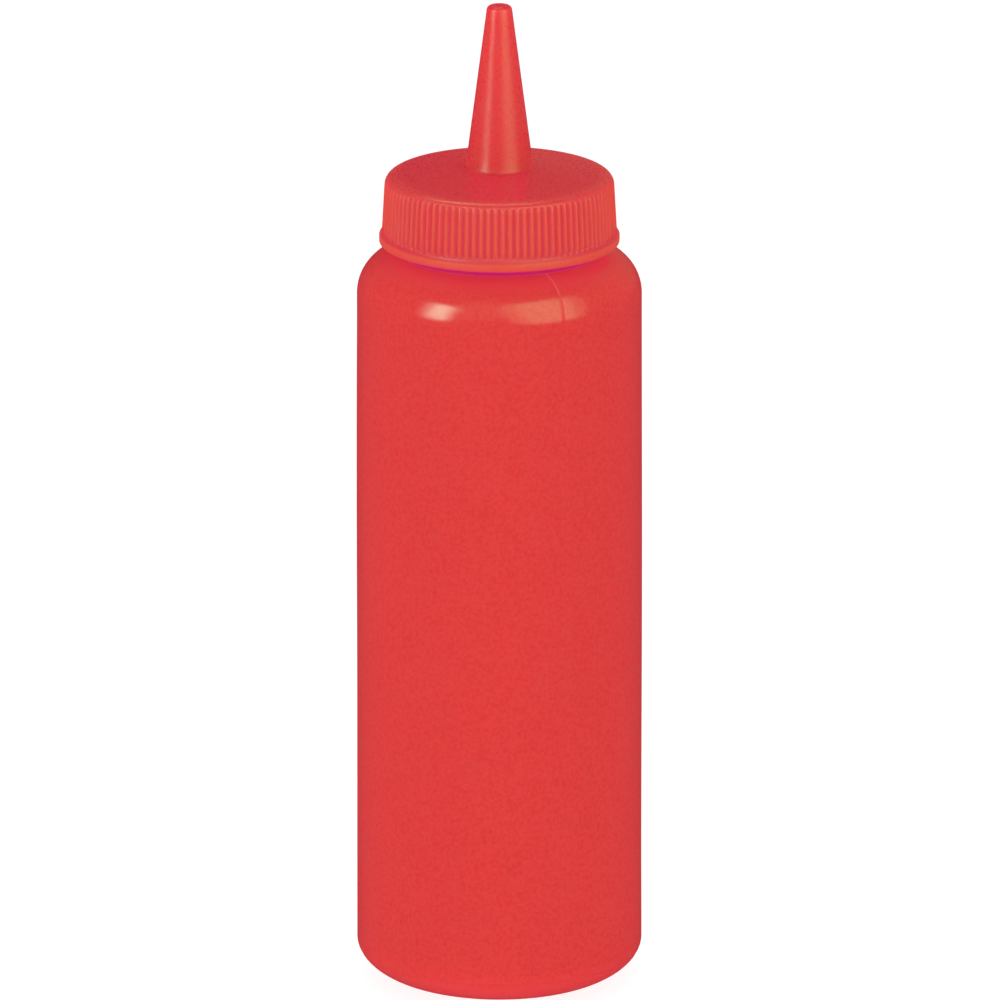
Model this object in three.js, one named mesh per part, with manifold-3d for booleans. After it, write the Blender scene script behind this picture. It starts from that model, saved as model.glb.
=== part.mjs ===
// A squeeze bottle for sauce: a straight round bottle with a rolled shoulder, closed by a
// screw cap that is moulded in one with its cone nozzle.
// Millimetres, +Z up, origin on the table at the middle of the base.

import * as THREE from 'three';
import { mergeGeometries, mergeVertices } from 'three/addons/utils/BufferGeometryUtils.js';
import Module from 'manifold-3d';

const wasm = await Module();
wasm.setup();

// Bottle
const bodyRadius = 25.5;
const wallBendHeight = 75;        // above this the wall draws in towards the shoulder
const wallTopRadius = 25.42;
const baseCornerRun = 13.5;       // the corner under the wall is a quarter ellipse
const baseCornerRise = 7.65;
const baseCornerCut = 0.3;        // how much of the ellipse the standing ring cuts off
const ringInnerRadius = 12;
const pushUpRise = 1.5;
const shoulderRadius = 7.7;
const shoulderHeight = 127;       // height at which the wall turns into the shoulder
const neckRadius = 18.2;
const neckFillet = 1.1;
const neckChamfer = 0.8;

// Cap
const beadBottom = 136.5;
const beadHeight = 1.8;
const beadRadius = 21.45;
const beadEdge = 0.3;
const beadFlare = 0.7;            // height over which the bead swells out of the skirt
const skirtBottomRadius = 20.95;
const skirtTopRadius = 20.5;
const rimRadius = 1.75;           // rounding between skirt and top
const capHeight = 12.2;           // bead's underside to the top of that rounding
const topSlope = 7.8 * Math.PI / 180;
const capInnerRadius = 18.8;
const capTopWall = 1.4;
const capMouthChamfer = 0.5;
const neckToCapGap = 0.5;

// Flutes of the skirt
const fluteCount = 98;
const fluteDepth = 0.38;
const fluteWidth = 0.85;
const fluteReach = 0.25;          // how far a cutter stands out of the skirt
const fluteRunOut = 0.25;         // how far a flute runs down onto the bead

// Nozzle
const nozzleFootRadius = 6.02;
const nozzleTipRadius = 2.18;
const nozzleLength = 29.55;
const nozzleFillet = 0.6;
const tipRounding = 0.85;
const boreRadius = 0.6;
const boreDepth = 5;

// Facets round each turned piece, and along its arcs
const bottleSides = 72;
const nozzleSides = 30;
const hollowSides = 49;
const cornerSteps = 7;
const shoulderSteps = 7;
const rimSteps = 4;
const smallArcSteps = 3;

const capTop = beadBottom + capHeight;
const rimCentreRadius = skirtTopRadius - rimRadius;
const rimCentreHeight = capTop - rimRadius;

function material(color, roughness) {
  return new THREE.MeshStandardMaterial({ color, roughness, metalness: 0 });
}

// Points on a part of an ellipse, angles in radians from the outward direction.
function arcPoints(centreRadius, centreHeight, run, rise, from, to, steps) {
  const points = [];
  for (let i = 0; i <= steps; i += 1) {
    const angle = from + (to - from) * i / steps;
    points.push([centreRadius + run * Math.cos(angle), centreHeight + rise * Math.sin(angle)]);
  }
  return points;
}

// A profile of [radius, height] pairs turned about Z.
function turned(profile, sides) {
  const points = profile.map(([radius, height]) => new THREE.Vector2(radius, height));
  const geometry = new THREE.LatheGeometry(points, sides);
  geometry.rotateX(Math.PI / 2);
  return geometry;
}

// The closed mesh with shared corners merged and facets that have shrunk to a line left out.
function toSolid(geometry) {
  const bare = geometry.clone();
  bare.deleteAttribute('normal');
  bare.deleteAttribute('uv');
  const merged = mergeVertices(bare, 1e-4);
  const index = merged.index.array;
  const kept = [];
  for (let i = 0; i < index.length; i += 3) {
    const [a, b, c] = index.slice(i, i + 3);
    if (a !== b && b !== c && c !== a) {
      kept.push(a, b, c);
    }
  }
  return new wasm.Manifold(new wasm.Mesh({
    numProp: 3,
    vertProperties: new Float32Array(merged.attributes.position.array),
    triVerts: new Uint32Array(kept),
  }));
}

function toGeometry(solid) {
  const mesh = solid.getMesh();
  const geometry = new THREE.BufferGeometry();
  geometry.setAttribute('position', new THREE.BufferAttribute(mesh.vertProperties, 3));
  geometry.setIndex(new THREE.BufferAttribute(mesh.triVerts, 1));
  geometry.computeVertexNormals();
  return geometry;
}

function namedMesh(name, geometry, finish) {
  const mesh = new THREE.Mesh(geometry, finish);
  mesh.name = name;
  return mesh;
}

// Bottle: push-up, standing ring, elliptical corner, wall, shoulder arc, fillet and neck.
function bottleGeometry() {
  const profile = [];
  const pushUpSteps = 4;
  for (let i = 0; i < pushUpSteps; i += 1) {
    const radius = ringInnerRadius * i / pushUpSteps;
    profile.push([radius, pushUpRise * Math.cos(Math.PI / 2 * i / pushUpSteps)]);
  }
  profile.push([ringInnerRadius, 0]);

  const cornerHeight = baseCornerRise - baseCornerCut;
  const cornerStart = -Math.asin(cornerHeight / baseCornerRise);
  const cornerCentre = bodyRadius - baseCornerRun;
  profile.push(
    ...arcPoints(cornerCentre, cornerHeight, baseCornerRun, baseCornerRise, cornerStart, 0, cornerSteps),
  );
  profile.push([bodyRadius, wallBendHeight]);

  // The fillet's circle rests against the neck and on the shoulder's circle.
  const shoulderCentre = wallTopRadius - shoulderRadius;
  const filletCentre = neckRadius + neckFillet;
  const across = filletCentre - shoulderCentre;
  const between = shoulderRadius + neckFillet;
  const meeting = Math.acos(across / between);
  const filletHeight = shoulderHeight + between * Math.sin(meeting);
  profile.push(
    ...arcPoints(shoulderCentre, shoulderHeight, shoulderRadius, shoulderRadius, 0, meeting, shoulderSteps),
  );
  const fillet = arcPoints(
    filletCentre, filletHeight, neckFillet, neckFillet, meeting - Math.PI, -Math.PI, smallArcSteps,
  );
  profile.push(...fillet.slice(1));

  const neckTop = capTop - capTopWall - neckToCapGap;
  profile.push([neckRadius, neckTop - neckChamfer]);
  profile.push([neckRadius - neckChamfer, neckTop]);
  profile.push([0, neckTop]);
  return turned(profile, bottleSides);
}

// Outside of the cap without its nozzle: bead, leaning skirt, rounded rim and shallow cone top.
function capBody() {
  const rimEnd = Math.PI / 2 - topSlope;
  const tangentRadius = rimCentreRadius + rimRadius * Math.cos(rimEnd);
  const tangentHeight = rimCentreHeight + rimRadius * Math.sin(rimEnd);
  const profile = [
    [0, beadBottom],
    [beadRadius - beadEdge, beadBottom],
    [beadRadius, beadBottom + beadEdge],
    [beadRadius, beadBottom + beadHeight - beadFlare],
    [skirtBottomRadius, beadBottom + beadHeight],
    ...arcPoints(rimCentreRadius, rimCentreHeight, rimRadius, rimRadius, 0, rimEnd, rimSteps),
    [0, tangentHeight + tangentRadius * Math.tan(topSlope)],
  ];
  // Every corner of the facets lies in a flute, where it is cut away.
  return toSolid(turned(profile, fluteCount));
}

// One cutter for each flute, leaning with the skirt, from the bead up through the rounded rim.
function fluteCutters() {
  const bottom = beadBottom + beadHeight - fluteRunOut;
  const lean = (skirtBottomRadius - skirtTopRadius) / (rimCentreHeight - beadBottom - beadHeight);
  const length = capTop - bottom + rimRadius;
  const halfWidth = fluteWidth / 2 * (fluteDepth + fluteReach) / fluteDepth;
  const section = new THREE.Shape([
    new THREE.Vector2(0, -fluteDepth),
    new THREE.Vector2(halfWidth, fluteReach),
    new THREE.Vector2(-halfWidth, fluteReach),
  ]);
  const cutters = [];
  for (let i = 0; i < fluteCount; i += 1) {
    const cutter = new THREE.ExtrudeGeometry(section, { depth: length, bevelEnabled: false });
    cutter.rotateX(Math.atan(lean));
    cutter.translate(0, skirtBottomRadius, bottom);
    cutter.rotateZ(2 * Math.PI * i / fluteCount);
    cutters.push(cutter);
  }
  return toSolid(mergeGeometries(cutters));
}

// The cone nozzle with its rounded tip and the fillet at its foot, sunk into the cap's top.
function nozzle() {
  const rimEnd = Math.PI / 2 - topSlope;
  const tangentRadius = rimCentreRadius + rimRadius * Math.cos(rimEnd);
  const tangentHeight = rimCentreHeight + rimRadius * Math.sin(rimEnd);
  const footHeight = tangentHeight + (tangentRadius - nozzleFootRadius) * Math.tan(topSlope);
  const draft = Math.atan((nozzleFootRadius - nozzleTipRadius) / nozzleLength);
  const tipHeight = footHeight + nozzleLength;
  const coneAt = (height) => nozzleFootRadius - (height - footHeight) * Math.tan(draft);

  // The fillet's circle touches the sloping top and the cone.
  const turn = Math.PI / 2 - draft - topSlope;
  const reach = nozzleFillet * Math.tan(turn / 2);
  const filletTop = footHeight + reach * Math.cos(draft);
  const centreRadius = coneAt(filletTop) + nozzleFillet * Math.cos(draft);
  const centreHeight = filletTop + nozzleFillet * Math.sin(draft);
  const filletFrom = -Math.PI / 2 - topSlope;
  const filletTo = -Math.PI + draft;
  const fillet = arcPoints(
    centreRadius, centreHeight, nozzleFillet, nozzleFillet, filletFrom, filletTo, smallArcSteps,
  );

  const roundCentre = tipHeight - tipRounding;
  const roundRadius = coneAt(roundCentre) - tipRounding / Math.cos(draft);
  const tip = arcPoints(roundRadius, roundCentre, tipRounding, tipRounding, draft, Math.PI / 2, smallArcSteps);
  const sunk = 0.6;
  const outside = toSolid(turned([
    [0, footHeight - sunk],
    [fillet[0][0], footHeight - sunk],
    ...fillet,
    ...tip,
    [0, tipHeight],
  ], nozzleSides));
  const bore = toSolid(turned([
    [0, tipHeight - boreDepth],
    [boreRadius, tipHeight - boreDepth],
    [boreRadius, tipHeight + 1],
    [0, tipHeight + 1],
  ], nozzleSides / 3));
  return outside.subtract(bore);
}

// The space inside the cap that takes the neck, open below.
function capHollow() {
  const hollowTop = capTop - capTopWall;
  const mouth = capInnerRadius + capMouthChamfer;
  return toSolid(turned([
    [0, beadBottom - 1],
    [mouth + 1, beadBottom - 1],
    [mouth, beadBottom],
    [capInnerRadius, beadBottom + capMouthChamfer],
    [capInnerRadius, hollowTop],
    [0, hollowTop],
  ], hollowSides));
}

function capGeometry() {
  const outside = capBody().subtract(fluteCutters());
  return toGeometry(outside.add(nozzle()).subtract(capHollow()));
}

const bottleFinish = material(0xdd4242, 0.42);
const capFinish = material(0xd84343, 0.36);

const sauceBottle = new THREE.Group();
sauceBottle.add(namedMesh('bottle', bottleGeometry(), bottleFinish));
sauceBottle.add(namedMesh('cap', capGeometry(), capFinish));

export default sauceBottle;
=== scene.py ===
import math

import bpy
import numpy as np
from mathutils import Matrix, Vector


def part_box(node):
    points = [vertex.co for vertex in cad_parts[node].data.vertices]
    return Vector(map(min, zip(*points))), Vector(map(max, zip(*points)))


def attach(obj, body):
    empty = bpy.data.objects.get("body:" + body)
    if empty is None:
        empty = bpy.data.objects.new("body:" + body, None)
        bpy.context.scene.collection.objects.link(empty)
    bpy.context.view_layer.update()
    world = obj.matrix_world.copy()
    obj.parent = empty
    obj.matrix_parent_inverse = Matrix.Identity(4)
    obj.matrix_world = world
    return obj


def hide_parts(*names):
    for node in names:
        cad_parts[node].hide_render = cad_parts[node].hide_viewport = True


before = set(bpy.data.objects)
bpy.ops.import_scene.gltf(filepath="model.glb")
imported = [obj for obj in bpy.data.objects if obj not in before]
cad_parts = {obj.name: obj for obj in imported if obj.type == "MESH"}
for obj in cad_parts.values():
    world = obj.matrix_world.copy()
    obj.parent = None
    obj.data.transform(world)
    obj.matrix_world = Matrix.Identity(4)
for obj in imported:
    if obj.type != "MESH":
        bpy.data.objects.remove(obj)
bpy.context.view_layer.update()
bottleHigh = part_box("bottle")[1]
capLow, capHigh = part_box("cap")
print("frame loaded:", sorted(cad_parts))

mm = 0.001


# Part of an ellipse as rows of (radius, height), angles in degrees from the outward direction.
def arc(centreRadius, centreHeight, run, rise, start, end, rows):
    angle = np.radians(np.linspace(start, end, rows))
    return np.column_stack((centreRadius + run * np.cos(angle), centreHeight + rise * np.sin(angle)))


# The same with a part of a circle.
def bend(centreRadius, centreHeight, radius, start, end, rows):
    return arc(centreRadius, centreHeight, radius, radius, start, end, rows)


# Rows evenly spread on the straight line from one (radius, height) to another.
def straight(start, end, rows):
    share = np.linspace(0, 1, rows)[:, None]
    return np.asarray(start) * (1 - share) + np.asarray(end) * share


# 0 below start, 1 above end and a smooth S between them: t * t * (3 - 2t).
def ease(value, start, end):
    t = np.clip((value - start) / (end - start), 0, 1)
    return t * t * (3 - 2 * t)


# The same S between two offsets from a level.
def easeFrom(value, level, offsets):
    return ease(value, level + offsets[0], level + offsets[1])


# Stretches of a profile joined end to end, with points that repeat left out.
def profileOf(*stretches):
    rows = np.vstack(stretches)
    step = np.hypot(*np.diff(rows, axis=0).T)
    leastStep = 1e-4
    return rows[np.concatenate(([True], step > leastStep))]


# A closed skin from radius and height grids (profile rows by azimuth columns). Azimuth is measured
# from the front, -Y, towards +X: x = r sin(a), y = -r cos(a). The first and the last row lie on the
# axis, and each of them becomes one vertex.
def turnedSkin(name, azimuth, radius, height, attributes):
    rows, columns = radius.shape
    x = radius * np.sin(azimuth)
    y = -radius * np.cos(azimuth)
    grid = np.stack((x, y, height), axis=-1) * mm
    points = np.vstack((grid[0, :1], grid[1:-1].reshape(-1, 3), grid[-1, :1]))
    ring = 1 + np.arange((rows - 2) * columns).reshape(rows - 2, columns)
    turned = np.roll(ring, -1, axis=1)
    quads = np.stack((ring[:-1], turned[:-1], turned[1:], ring[1:]), axis=-1).reshape(-1, 4)
    top = len(points) - 1
    firstFan = np.stack((np.zeros(columns, int), turned[0], ring[0]), axis=-1)
    lastFan = np.stack((np.full(columns, top), ring[-1], turned[-1]), axis=-1)
    mesh = bpy.data.meshes.new(name)
    mesh.from_pydata(points, [], firstFan.tolist() + quads.tolist() + lastFan.tolist())
    mesh.polygons.foreach_set("use_smooth", np.ones(len(mesh.polygons), bool))
    for label, values in attributes.items():
        flat = np.concatenate((values[0, :1], values[1:-1].ravel(), values[-1, :1]))
        layer = mesh.attributes.new(label, "FLOAT", "POINT")
        layer.data.foreach_set("value", flat.astype(np.float32))
    mesh.update()
    skin = bpy.data.objects.new(name, mesh)
    bpy.context.collection.objects.link(skin)
    return skin


# Wraps a shader socket, so that maths on it is written as an expression.
class Signal:
    def __init__(self, tree, socket=None):
        self.tree = tree
        self.socket = socket

    # Adds a node: its settings first, then a value or a link for each socket.
    def node(self, kind, settings=None, sockets=None, output=0):
        made = self.tree.nodes.new(kind)
        for key, value in (settings or {}).items():
            setattr(made, key, value)
        for key, value in (sockets or {}).items():
            if isinstance(value, Signal):
                self.tree.links.new(value.socket, made.inputs[key])
            else:
                made.inputs[key].default_value = value
        return Signal(self.tree, made.outputs[output] if made.outputs else None)

    def maths(self, operation, first, second):
        return self.node("ShaderNodeMath", {"operation": operation}, {0: first, 1: second})

    def __add__(self, other):
        return self.maths("ADD", self, other)

    def __radd__(self, other):
        return self.maths("ADD", other, self)

    def __sub__(self, other):
        return self.maths("SUBTRACT", self, other)

    def __rsub__(self, other):
        return self.maths("SUBTRACT", other, self)

    def __mul__(self, other):
        return self.maths("MULTIPLY", self, other)

    def __rmul__(self, other):
        return self.maths("MULTIPLY", other, self)


# A new material with an empty tree, as the Signal that starts its expressions.
def newMaterial(name):
    made = bpy.data.materials.new(name)
    made.use_nodes = True
    made.node_tree.nodes.clear()
    return made, Signal(made.node_tree)


# Output 3 of the Texture Coordinate node is the place in the object's own axes.
def objectPlace(start):
    return start.node("ShaderNodeTexCoord", output=3)


# Output 2 of the Attribute node is the number that a skin carries at each point under this name.
def carried(start, name):
    return start.node("ShaderNodeAttribute", {"attribute_name": name}, output=2)


def noise(start, place, scale):
    sockets = {"Vector": place, "Scale": scale, "Detail": 2, "Roughness": 0.5}
    return start.node("ShaderNodeTexNoise", None, sockets)


# Mix node on colours: its factor is socket 0, its colours are 6 and 7, and its result is output 2.
def blendColours(start, share, first, second):
    return start.node("ShaderNodeMix", {"data_type": "RGBA"}, {0: share, 6: first, 7: second}, 2)


# What both plastics share.
plastic = {
    "fleckRed": (0.62, 0.018, 0.014, 1),
    # painted shadow in the gap between cap and bottle and inside the cap
    "gapShadowRed": (0.62, 0.000, 0.185, 1),
    "gapRoughness": 0.6,
    "reliefHeight": 0.03 * mm,
    "refraction": 1.5,
    "sheen": 0.45,
    "sheenRoughness": 0.4,
    "sheenTint": (1.0, 0.10, 0.13, 1),
    "glow": 0.8,
    "glowRadius": (1.0, 0.12, 0.14),
    "glowDepth": 3.5 * mm,
}


# Share of the fleck colour, which the Mix node holds within 0 and 1: mottle and cloud, each times
# its own share, less a start.
def flecks(mottle, cloud, finish):
    return mottle * finish["mottleShare"] + cloud * finish["cloudShare"] - finish["fleckStart"]


# A roughness that swings with the mottle by as much below the stated one as above it.
def mottledRoughness(mottle, finish):
    swing = finish["roughnessSwing"]
    return finish["roughness"] - swing / 2 + mottle * swing


def bumpOf(start, relief, finish):
    sockets = {"Strength": finish["bump"], "Distance": plastic["reliefHeight"], "Height": relief}
    return start.node("ShaderNodeBump", None, sockets)


def finishPlastic(made, start, shade, roughness, bump):
    surface = start.node("ShaderNodeBsdfPrincipled", None, {
        "Base Color": shade,
        "Roughness": roughness,
        "Normal": bump,
        "IOR": plastic["refraction"],
        "Sheen Weight": plastic["sheen"],
        "Sheen Roughness": plastic["sheenRoughness"],
        "Sheen Tint": plastic["sheenTint"],
        "Subsurface Weight": plastic["glow"],
        "Subsurface Radius": plastic["glowRadius"],
        "Subsurface Scale": plastic["glowDepth"],
    })
    start.node("ShaderNodeOutputMaterial", None, {"Surface": surface})
    return made


bottleFinish = {
    "red": (0.745, 0.061, 0.059, 1),
    # painted shade at the top of the shoulder under the cap and at the foot
    "paintedShadeRed": (0.74, 0.058, 0.066, 1),
    # painted highlight on the right flank of each parting line
    "seamHighlightRed": (0.80, 0.125, 0.105, 1),
    "mottleScale": 1600,
    "cloudScale": 60,
    "pinScale": 600,
    # distances from a pin speck's centre, in cells, where its slope begins and ends
    "pinStart": 0.06,
    "pinEnd": 0.14,
    "mottleShare": 1.3,
    "cloudShare": 0.1,
    "fleckStart": 0.58,
    "mottleRelief": 0.5,
    "bump": 0.16,
    "roughness": 0.17,
    "roughnessSwing": 0.04,
}


# Satin blown polyethylene: fine mottle in colour and relief, and a few sunken pin specks. The
# foot and the top of the shoulder carry painted shade in a crimson red, one side of each
# parting line a painted highlight in a paler red, and the gap under the cap a painted shadow
# in matt magenta.
def bottlePlastic():
    finish = bottleFinish
    made, start = newMaterial("bottle_plastic")
    place = objectPlace(start)
    mottle = noise(start, place, finish["mottleScale"])
    cloud = noise(start, place, finish["cloudScale"])
    apart = start.node("ShaderNodeTexVoronoi", None, {"Vector": place, "Scale": finish["pinScale"]})
    # sockets of the Map Range node: value, then the ends of its range, then the results there
    fall = {0: apart, 1: finish["pinStart"], 2: finish["pinEnd"], 3: 1, 4: 0}
    pin = start.node("ShaderNodeMapRange", None, fall)
    gapShadow = carried(start, "gapShadow")
    shade = blendColours(start, flecks(mottle, cloud, finish), finish["red"], plastic["fleckRed"])
    # painted shade: a crimson red at the top of the shoulder under the cap and at the foot
    shade = blendColours(start, carried(start, "paintedShade"), shade, finish["paintedShadeRed"])
    # painted highlight: a paler red on the right flank of each parting line
    shade = blendColours(start, carried(start, "seamHighlight"), shade, finish["seamHighlightRed"])
    # painted shadow: matt magenta in the gap under the cap
    shade = blendColours(start, gapShadow, shade, plastic["gapShadowRed"])
    roughness = mottledRoughness(mottle, finish) + gapShadow * plastic["gapRoughness"]
    bump = bumpOf(start, mottle * finish["mottleRelief"] - pin, finish)
    return finishPlastic(made, start, shade, roughness, bump)


capFinish = {
    "red": (0.69, 0.062, 0.066, 1),
    # painted sheen on the ribs' crests and the bead's side
    "crestSheenRed": (0.71, 0.086, 0.054, 1),
    # painted shade on the cone top
    "topShadeRed": (0.66, 0.028, 0.052, 1),
    # painted light on the nozzle, brighter against the darker shading at its foot
    "nozzleLightRed": (0.76, 0.058, 0.062, 1),
    # painted shade in the grooves, on the ledge over the bead and on the nozzle's tip and bore
    "grooveShadeRed": (0.64, 0.008, 0.060, 1),
    "grooveShadeShare": 0.58,
    "mottleScale": 1700,
    "cloudScale": 90,
    "mottleShare": 0.6,
    "cloudShare": 0.1,
    "fleckStart": 0.28,
    "bump": 0.03,
    "roughness": 0.28,
    "roughnessSwing": 0.06,
    "skirtRoughness": 0.16,
}


# Semi-gloss moulded polyethylene, duller on the skirt. The ribs' crests and the bead's side carry
# a painted sheen in a paler red, the cone top a painted shade in a darker red and the nozzle a
# painted light in a brighter red. The grooves, the ledge over the bead and the nozzle's tip and
# bore carry painted shade in crimson, and the gap over the bottle and the inside a painted
# shadow in matt magenta.
def capPlastic():
    finish = capFinish
    made, start = newMaterial("cap_plastic")
    place = objectPlace(start)
    mottle = noise(start, place, finish["mottleScale"])
    cloud = noise(start, place, finish["cloudScale"])
    gapShadow = carried(start, "gapShadow")
    # painted sheen: a paler red on the ribs' crests and the bead's side
    shade = blendColours(start, carried(start, "crest"), finish["red"], finish["crestSheenRed"])
    # painted shade: a darker red on the cone top
    shade = blendColours(start, carried(start, "top"), shade, finish["topShadeRed"])
    # painted light: a brighter red on the nozzle
    shade = blendColours(start, carried(start, "nozzle"), shade, finish["nozzleLightRed"])
    # painted shade: crimson in the grooves, on the ledge over the bead and on the nozzle's tip and bore
    creviceShade = carried(start, "groove") * finish["grooveShadeShare"]
    shade = blendColours(start, creviceShade, shade, finish["grooveShadeRed"])
    shade = blendColours(start, flecks(mottle, cloud, finish), shade, plastic["fleckRed"])
    # painted shadow: matt magenta under the bead and inside the cap
    shade = blendColours(start, gapShadow, shade, plastic["gapShadowRed"])
    roughness = mottledRoughness(mottle, finish) + carried(start, "matt") * finish["skirtRoughness"]
    roughness = roughness + gapShadow * plastic["gapRoughness"]
    return finishPlastic(made, start, shade, roughness, bumpOf(start, mottle, finish))


# Millimetres and degrees. A pair is the start and the end of an S curve.
bottleShape = {
    "wallRadius": bottleHigh.y / mm,
    "wallTopRadius": 25.42,
    "wallBendHeight": 75,
    "neckTop": bottleHigh.z / mm,
    "neckRadius": 18.2,
    "neckChamfer": 0.8,
    "shoulderRadius": 7.7,
    "shoulderHeight": 127,
    "neckFillet": 1.1,
    "cornerRun": 13.5,
    "cornerRise": 7.65,
    "cornerCut": 0.3,
    "ringInnerRadius": 12,
    "pushUpRise": 1.5,
    "partingAzimuth": 26.7,
    "partingHeight": 0.15,
    "partingWidth": 0.18,
    # the parting line is faint on the wall and full on the shoulder
    "partingFaint": 0.08,
    "partingFull": (118, 128),
    "partingFoot": (1, 6),
    # columns beside each parting line, how many of its widths they reach to each side, and how
    # many times as far from the line the evenly spread columns start
    "partingColumns": 17,
    "partingReach": 4,
    "columnMargin": 1.1,
    "creaseHeight": 5.1,
    "creaseDepth": 0.08,
    "creaseWidth": 0.22,
    "creaseInnerRadius": 20,
    "waver": 0.03,
    # for each wave: lobes round the wall, millimetres of height per radian, phase and share
    "waves": ((2, 21, 0, 1), (3, -13, 1.7, 0.6)),
    "wavesStart": (6, 25),
    "wavesEnd": (112, 126),
    "pinchHeight": 0.35,
    "pinchWidth": 0.45,
    "pinchEnd": (6, 8.5),
    "columns": 256,
    "neckMargin": 0.05,
    # painted shadow in the gap, faint over its first stretch, full above it, up to inside the cap
    "gapFaint": 0.15,
    "gapStart": (134.3, 135.0),
    "gapFull": (135.0, 135.2),
    "gapTop": capLow.z / mm + 1,
    # painted shade at the top of the shoulder under the cap and at the foot
    "paintedShadeTop": (132.2, 134.4),
    "paintedShadeFoot": (1, 8),
    # paler painted highlight on each parting line's right flank, from high on the shoulder upwards
    "seamHighlightOffset": 0.22,
    "seamHighlightWidth": 0.20,
    "seamHighlightStart": (131.8, 132.8),
}


# Bottle skin. The profile is push-up, standing ring, elliptical corner, wall, shoulder arc, fillet
# and neck. Its radius changes by a parting line, h * exp(-(d / w)^2) with d the distance round the
# wall from the mould's parting plane, a crease where the mould's base part ends, and slow waves.
def makeBottle():
    shape = bottleShape
    cornerHeight = shape["cornerRise"] - shape["cornerCut"]
    cornerCentre = shape["wallRadius"] - shape["cornerRun"]
    cornerStart = -math.degrees(math.asin(cornerHeight / shape["cornerRise"]))
    shoulderCentre = shape["wallTopRadius"] - shape["shoulderRadius"]
    filletCentre = shape["neckRadius"] + shape["neckFillet"]
    between = shape["shoulderRadius"] + shape["neckFillet"]
    meeting = math.degrees(math.acos((filletCentre - shoulderCentre) / between))
    filletHeight = shape["shoulderHeight"] + between * math.sin(math.radians(meeting))

    pushRadius = np.linspace(0, shape["ringInnerRadius"], num=25)
    pushHeight = shape["pushUpRise"] * np.cos(math.pi / 2 * pushRadius / shape["ringInnerRadius"])
    corner = arc(cornerCentre, cornerHeight, shape["cornerRun"], shape["cornerRise"],
                 cornerStart, 0, rows=60)
    wallStart = (shape["wallRadius"], cornerHeight)
    wall = straight(wallStart, (shape["wallRadius"], shape["shoulderHeight"]), rows=61)
    drawnIn = shape["wallRadius"] - shape["wallTopRadius"]
    wall[:, 0] -= drawnIn * ease(wall[:, 1], shape["wallBendHeight"], shape["shoulderHeight"])
    shoulder = bend(shoulderCentre, shape["shoulderHeight"], shape["shoulderRadius"],
                    0, meeting, rows=41)
    fillet = bend(filletCentre, filletHeight, shape["neckFillet"], meeting - 180, -180, rows=10)
    neckFoot = (shape["neckRadius"], filletHeight)
    neckEdge = (shape["neckRadius"], shape["neckTop"] - shape["neckChamfer"])
    neckRim = (shape["neckRadius"] - shape["neckChamfer"], shape["neckTop"])
    profile = profileOf(
        np.column_stack((pushRadius, pushHeight)),
        straight((shape["ringInnerRadius"], 0), corner[0], rows=4),
        corner,
        wall,
        shoulder,
        fillet,
        straight(neckFoot, neckEdge, rows=6),
        straight(neckEdge, neckRim, rows=3),
        straight(neckRim, (0, shape["neckTop"]), rows=4),
    )

    # Columns crowd beside the two parting lines, so that a fine ridge has its true section.
    seams = np.radians([shape["partingAzimuth"], shape["partingAzimuth"] + 180])
    evenly = np.linspace(0, 2 * math.pi, shape["columns"], endpoint=False)
    apart = np.abs((evenly[:, None] - seams + math.pi) % (2 * math.pi) - math.pi).min(axis=1)
    spread = np.linspace(-1, 1, shape["partingColumns"]) * shape["partingReach"]
    beside = spread * shape["partingWidth"] / shape["wallRadius"]
    clear = evenly[apart > beside[-1] * shape["columnMargin"]]
    azimuth = np.sort(np.concatenate((clear, (seams[:, None] + beside).ravel())))

    radius = profile[:, :1] * np.ones_like(azimuth)
    height = profile[:, 1:] * np.ones_like(azimuth)
    offSeam = (azimuth[:, None] - seams + math.pi) % (2 * math.pi) - math.pi
    offSeam = offSeam[np.arange(len(azimuth)), np.abs(offSeam).argmin(axis=1)]
    distance = radius * np.sin(offSeam)
    outside = radius > shape["neckRadius"] + shape["neckMargin"]
    strength = shape["partingFaint"] + (1 - shape["partingFaint"]) * ease(height, *shape["partingFull"])
    strength = strength * ease(height, *shape["partingFoot"]) * outside
    ridge = shape["partingHeight"] * strength * np.exp(-(distance / shape["partingWidth"]) ** 2)
    crease = np.exp(-((height - shape["creaseHeight"]) / shape["creaseWidth"]) ** 2)
    crease = shape["creaseDepth"] * crease * (radius > shape["creaseInnerRadius"])
    waves = sum(share * np.sin(lobes * azimuth + height / pitch + phase)
                for lobes, pitch, phase, share in shape["waves"])
    waves = waves * shape["waver"] * ease(height, *shape["wavesStart"])
    waves = waves * (1 - ease(height, *shape["wavesEnd"])) * outside

    # The pinch-off is a low weld across the push-up, in the parting plane.
    across = radius * np.sin(azimuth - seams[0])
    along = np.abs(radius * np.cos(azimuth - seams[0]))
    inPush = (radius < shape["ringInnerRadius"]) & (height < shape["neckTop"] / 2)
    weld = shape["pinchHeight"] * np.exp(-(across / shape["pinchWidth"]) ** 2)
    weld = weld * (1 - ease(along, *shape["pinchEnd"])) * inPush

    # painted shadow in the gap under the cap's bead
    gapShadow = shape["gapFaint"] * ease(height, *shape["gapStart"])
    gapShadow = gapShadow + (1 - shape["gapFaint"]) * ease(height, *shape["gapFull"])
    gapShadow = gapShadow * (height < shape["gapTop"])
    # painted shade at the top of the shoulder under the cap and at the foot
    paintedShade = ease(height, *shape["paintedShadeTop"]) + 1 - ease(height, *shape["paintedShadeFoot"])
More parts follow.
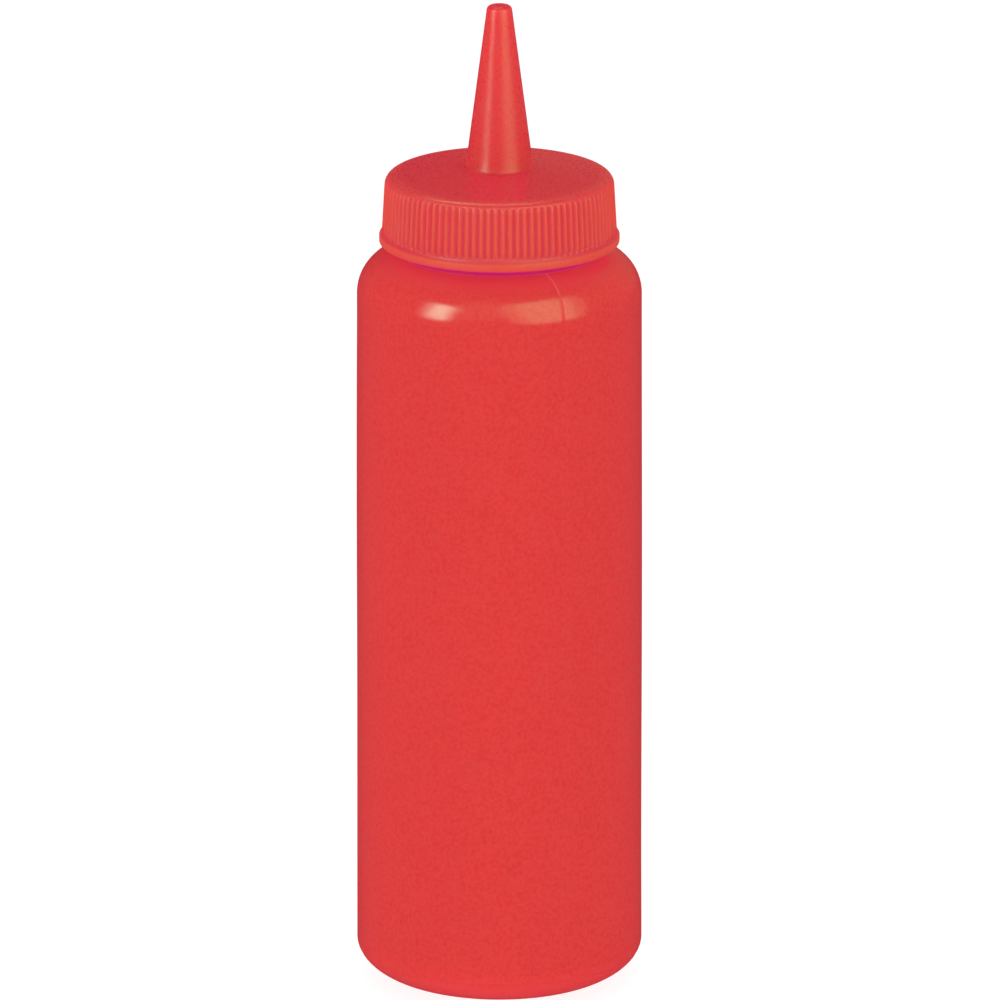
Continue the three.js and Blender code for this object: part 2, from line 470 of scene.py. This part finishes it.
    # painted highlight on the right flank of each parting line
    seamHighlight = np.exp(-((distance - shape["seamHighlightOffset"]) / shape["seamHighlightWidth"]) ** 2)
    seamHighlight = seamHighlight * ease(height, *shape["seamHighlightStart"]) * outside
    skin = turnedSkin("bottle_skin", azimuth, radius + ridge - crease + waves, height - weld,
                      {"gapShadow": gapShadow, "paintedShade": paintedShade, "seamHighlight": seamHighlight})
    skin.data.materials.append(bottlePlastic())
    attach(skin, "root")
    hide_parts("bottle")
    return skin


# Millimetres and degrees. A pair is the start and the end of an S curve, as offsets from a level
# or as angles round the rim.
capShape = {
    "underside": capLow.z / mm,
    "tip": capHigh.z / mm,
    "innerRadius": 18.8,
    "ceiling": 147.3,
    "ceilingFillet": 0.6,
    "mouthChamfer": 0.5,
    "beadRadius": 21.45,
    "beadRounding": 0.35,
    "beadTopHeight": 137.7,
    "beadTopRounding": 0.15,
    "beadTopTurn": 45,
    "skirtBottomRadius": 20.95,
    "skirtBottomHeight": 138.3,
    "skirtStartRise": 0.05,
    "skirtBendRise": 0.9,
    "skirtBendDraw": 0.02,
    "skirtTopRadius": 20.5,
    "rimRadius": 1.75,
    "rimTop": 148.7,
    "topSlope": 7.8,
    "ribs": 98,
    "ribDepth": 0.38,
    "ribStart": (0.2, 0.6),
    "ribEnd": (14, 44),
    "columnsPerRib": 8,
    "footRadius": 6.02,
    "footFillet": 0.6,
    "tipRadius": 2.18,
    "tipRounding": 0.85,
    "nozzleLength": 29.55,
    "boreRadius": 0.4,
    "boreEdge": 0.2,
    "boreDepth": 5,
    # how far from the inner wall's radius the outside and the inside are told apart
    "outsideMargin": 0.7,
    "insideMargin": 0.1,
    # painted light and shade, and where the skirt is duller
    "ledgeStart": (0.2, 0.4),
    "ledgeEnd": (0.6, 1.3),
    "ledgeShare": 0.75,
    "undersideEnd": (0, 0.25),
    "beadSideStart": (0.2, 0.6),
    "beadSideEnd": (0.2, 0.5),
    "mattEnd": (25, 60),
    "topMargin": 0.1,
    "nozzleStart": (-0.1, 0.4),
    "tipStart": (-0.5, -0.1),
}


# Cap skin. The profile starts inside on the ceiling, runs down the inner wall, round the bead and
# its chamfered top, up the skirt, over the rim, along the shallow cone and up the nozzle into its
# bore. Each rib is one wave round the skirt: groove depth = d * (1 - s(c)), with s the S curve,
# c = (1 - cos(n a)) / 2, n the number of ribs and a the azimuth.
def makeCap():
    shape = capShape
    slope = math.radians(shape["topSlope"])
    rimCentre = shape["skirtTopRadius"] - shape["rimRadius"]
    rimHeight = shape["rimTop"] - shape["rimRadius"]
    rim = bend(rimCentre, rimHeight, shape["rimRadius"], 0, 90 - shape["topSlope"], rows=14)
    footHeight = rim[-1, 1] + (rim[-1, 0] - shape["footRadius"]) * math.tan(slope)
    draft = math.atan((shape["footRadius"] - shape["tipRadius"]) / shape["nozzleLength"])

    # The fillet's circle touches the cone top and the nozzle.
    reach = shape["footFillet"] * math.tan((math.pi / 2 - draft - slope) / 2)
    filletTop = footHeight + reach * math.cos(draft)
    filletTopRadius = shape["footRadius"] - (filletTop - footHeight) * math.tan(draft)
    filletCentre = filletTopRadius + shape["footFillet"] * math.cos(draft)
    filletHeight = filletTop + shape["footFillet"] * math.sin(draft)
    foot = bend(filletCentre, filletHeight, shape["footFillet"],
                -90 - shape["topSlope"], -180 + math.degrees(draft), rows=8)
    roundHeight = shape["tip"] - shape["tipRounding"]
    roundRadius = (shape["footRadius"] - (roundHeight - footHeight) * math.tan(draft)
                   - shape["tipRounding"] / math.cos(draft))
    tip = bend(roundRadius, roundHeight, shape["tipRounding"], math.degrees(draft), 90, rows=8)
    boreMouth = shape["boreRadius"] + shape["boreEdge"]
    boreTop = bend(boreMouth, shape["tip"] - shape["boreEdge"], shape["boreEdge"], 90, 180, rows=5)
    boreEnd = shape["tip"] - shape["boreDepth"]

    ceilingEdge = shape["innerRadius"] - shape["ceilingFillet"]
    wallTop = shape["ceiling"] - shape["ceilingFillet"]
    ceiling = bend(ceilingEdge, wallTop, shape["ceilingFillet"], 90, 0, rows=4)
    wallFoot = (shape["innerRadius"], shape["underside"] + shape["mouthChamfer"])
    mouth = (shape["innerRadius"] + shape["mouthChamfer"], shape["underside"])
    beadCentre = shape["beadRadius"] - shape["beadRounding"]
    beadHeight = shape["underside"] + shape["beadRounding"]
    bead = bend(beadCentre, beadHeight, shape["beadRounding"], -90, 0, rows=7)
    beadTop = bend(shape["beadRadius"] - shape["beadTopRounding"], shape["beadTopHeight"],
                   shape["beadTopRounding"], 0, shape["beadTopTurn"], rows=5)
    skirtStart = (shape["skirtBottomRadius"], shape["skirtBottomHeight"] + shape["skirtStartRise"])
    skirtBend = (shape["skirtBottomRadius"] - shape["skirtBendDraw"],
                 shape["skirtBottomHeight"] + shape["skirtBendRise"])
    profile = profileOf(
        straight((0, shape["ceiling"]), (ceilingEdge, shape["ceiling"]), rows=4),
        ceiling,
        straight((shape["innerRadius"], wallTop), wallFoot, rows=4),
        straight(wallFoot, mouth, rows=3),
        straight(mouth, (beadCentre, shape["underside"]), rows=3),
        bead,
        straight(bead[-1], beadTop[0], rows=4),
        beadTop,
        straight(beadTop[-1], skirtStart, rows=4),
        straight(skirtStart, skirtBend, rows=6),
        straight(skirtBend, rim[0], rows=7),
        rim,
        straight(rim[-1], foot[0], rows=9),
        foot,
        straight(foot[-1], tip[0], rows=13),
        tip,
        straight(tip[-1], boreTop[0], rows=3),
        boreTop,
        straight(boreTop[-1], (shape["boreRadius"], boreEnd), rows=4),
        straight((shape["boreRadius"], boreEnd), (0, boreEnd), rows=2),
    )

    azimuth = np.linspace(0, 2 * math.pi, shape["ribs"] * shape["columnsPerRib"], endpoint=False)
    radius = profile[:, :1] * np.ones_like(azimuth)
    height = profile[:, 1:] * np.ones_like(azimuth)
    crest = ease((1 - np.cos(shape["ribs"] * azimuth)) / 2, 0, 1)
    outside = radius > shape["innerRadius"] + shape["outsideMargin"]
    up = np.degrees(np.arctan2(height - rimHeight, radius - rimCentre))
    span = easeFrom(height, shape["skirtBottomHeight"], shape["ribStart"])
    span = span * (1 - ease(up, *shape["ribEnd"])) * outside
    groove = (1 - crest) * span

    # Paint at each point, 0 for none: painted light and shade, and where the skirt is duller. That of
    # the tip and that of the bore add up where they meet.
    # painted shade: crimson in the grooves, on the ledge over the bead, on the nozzle's tip and in its
    # bore
    ledge = easeFrom(height, shape["beadTopHeight"], shape["ledgeStart"]) * outside
    ledge = ledge * (1 - easeFrom(height, shape["skirtBottomHeight"], shape["ledgeEnd"]))
    tipTop = easeFrom(height, shape["tip"], shape["tipStart"])
    bore = (radius < boreMouth) * (height > footHeight)
    creviceShade = np.maximum(groove, shape["ledgeShare"] * ledge) + tipTop + bore
    # painted sheen on the bead's side
    beadSideSheen = easeFrom(height, shape["underside"], shape["beadSideStart"]) * outside
    beadSideSheen = beadSideSheen * (1 - easeFrom(height, shape["beadTopHeight"], shape["beadSideEnd"]))
    # painted shadow under the bead and inside the cap
    underBead = 1 - easeFrom(height, shape["underside"], shape["undersideEnd"])
    underBead = underBead * (radius > shape["innerRadius"] - shape["insideMargin"])
    hollow = (radius < shape["innerRadius"] + shape["insideMargin"]) * (height < shape["ceiling"])
    # painted shade on the cone top
    top = (radius < rim[-1, 0]) & (radius > foot[-1, 0] + shape["topMargin"])
    top = top & (height > shape["rimTop"] - shape["topMargin"])
    matt = outside * (1 - ease(up, *shape["mattEnd"]))
    # painted light on the nozzle
    nozzle = (radius < foot[0, 0]) * easeFrom(height, foot[0, 1], shape["nozzleStart"])
    paint = {
        "groove": creviceShade,
        # painted sheen on the ribs' crests and the bead's side
        "crest": crest * span + beadSideSheen,
        "gapShadow": np.clip(underBead + hollow, 0, 1),
        "top": top,
        "matt": matt,
        "nozzle": nozzle,
    }
    skin = turnedSkin("cap_skin", azimuth, radius - shape["ribDepth"] * groove, height, paint)
    skin.data.materials.append(capPlastic())
    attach(skin, "root")
    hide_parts("cap")
    return skin


bottle = makeBottle()
print("bottle:", len(bottle.data.polygons), "faces")
cap = makeCap()
print("cap:", len(cap.data.polygons), "faces")

studio = {
    "aim": (0, 0, 0.12),
    "ambient": 0.41,
    "floorShade": (0.45, 0.45, 0.45, 1),
    "floorGlow": 0.66,
    "floorHalfWidth": 6,
    # azimuth and elevation in degrees, distance, width and height in metres, radiance, tint
    "reflected": {
        "left_softbox": (-52, 21.2, 1.2, 0.60, 0.79, 3.0, "pink"),
        "left_core": (-51, 21.2, 1.2, 0.32, 0.79, 6.6, "pink"),
        "right_softbox": (42, 27.6, 1.2, 1.55, 1.31, 1.2, "orange"),
        "right_core": (43, 26.4, 1.2, 0.90, 1.24, 1.65, "orange"),
        "middle_haze": (-6, 38, 1.2, 1.1, 1.10, 0.45, "orange"),
        "back_card": (134.5, 22, 2.0, 4.3, 1.7, 0.12, "orange"),
        "rear_softbox": (195, 62, 1.4, 0.8, 0.5, 3.0, "orange"),
    },
    "fill": {
        "front_fill": (-3, 22, 2.0, 1.5, 1.0, 3.5, "white"),
        "left_fill": (-122, 18, 2.0, 1.2, 1.2, 2.7, "white"),
        "right_fill": (124, 18, 2.0, 1.2, 1.2, 2.45, "white"),
        "top_fill": (0, 88, 2.0, 1.2, 1.2, 2.3, "white"),
    },
    # light colours whose reflections come out as pink and orange on the red plastic
    "tints": {
        "pink": (0.46, 1.0, 0.72),
        "orange": (0.60, 1.0, 0.50),
        "white": (1.0, 1.0, 1.0),
    },
}


# A rectangular area light that faces the aim. Its power is radiance * pi * width * height. It
# either shows in reflections or fills the shade without a shadow of its own, so that each of the
# two is set by itself.
def softbox(name, reflected, azimuth, elevation, distance, width, height, radiance, tint):
    lamp = bpy.data.lights.new(name, "AREA")
    lamp.shape = "RECTANGLE"
    lamp.size = width
    lamp.size_y = height
    lamp.energy = radiance * math.pi * width * height
    lamp.color = studio["tints"][tint]
    lamp.use_shadow = reflected
    made = bpy.data.objects.new(name, lamp)
    bpy.context.collection.objects.link(made)
    turn = math.radians(azimuth)
    rise = math.radians(elevation)
    level = math.cos(rise)
    back = Vector((math.sin(turn) * level, -math.cos(turn) * level, math.sin(rise)))
    made.location = Vector(studio["aim"]) + back * distance
    made.rotation_euler = back.to_track_quat("Z", "Y").to_euler()
    made.visible_camera = False
    made.visible_glossy = reflected
    made.visible_diffuse = not reflected


# Pale matt floor, out to where no view sees its edge.
def makeFloor():
    half = studio["floorHalfWidth"]
    corners = [(-half, -half, 0), (half, -half, 0), (half, half, 0), (-half, half, 0)]
    mesh = bpy.data.meshes.new("floor")
    mesh.from_pydata(corners, [], [(0, 1, 2, 3)])
    floor = bpy.data.objects.new("floor", mesh)
    bpy.context.collection.objects.link(floor)
    made, start = newMaterial("floor_paint")
    paint = start.node("ShaderNodeBsdfDiffuse", None, {"Color": studio["floorShade"]})
    glow = start.node("ShaderNodeEmission", None, {"Strength": studio["floorGlow"]})
    both = start.node("ShaderNodeAddShader", None, {0: paint, 1: glow})
    start.node("ShaderNodeOutputMaterial", None, {"Surface": both})
    mesh.materials.append(made)
    floor.visible_glossy = False


# Even white light from all round, left out of reflections, which show the softboxes alone.
def makeSurround():
    world = bpy.data.worlds.new("surround")
    bpy.context.scene.world = world
    world.use_nodes = True
    world.node_tree.nodes.clear()
    start = Signal(world.node_tree)
    sockets = {"Color": (1, 1, 1, 1), "Strength": studio["ambient"]}
    light = start.node("ShaderNodeBackground", None, sockets)
    start.node("ShaderNodeOutputWorld", None, {"Surface": light})
    world.cycles_visibility.glossy = False


makeFloor()
makeSurround()
for name, settings in studio["reflected"].items():
    softbox(name, True, *settings)
for name, settings in studio["fill"].items():
    softbox(name, False, *settings)
print("studio:", len(studio["reflected"]) + len(studio["fill"]), "lights")

view = {
    "elevation": 16.126,
    "distance": 5.4451,
    "aim": (0.00011, 0, 0.08839),
    "lens": 1096.7,
    "sensor": 36,
    "nearest": 0.1,
    "farthest": 50,
}


# The photograph was taken from far away with a long lens, a little above the cap.
def makeCamera():
    lens = bpy.data.cameras.new("camera")
    lens.lens = view["lens"]
    lens.sensor_width = view["sensor"]
    lens.clip_start = view["nearest"]
    lens.clip_end = view["farthest"]
    camera = bpy.data.objects.new("camera", lens)
    bpy.context.collection.objects.link(camera)
    rise = math.radians(view["elevation"])
    back = Vector((0, -math.cos(rise), math.sin(rise)))
    camera.location = Vector(view["aim"]) + back * view["distance"]
    camera.rotation_euler = back.to_track_quat("Z", "Y").to_euler()
    bpy.context.scene.camera = camera


makeCamera()
bpy.context.scene.view_settings.view_transform = "Standard"
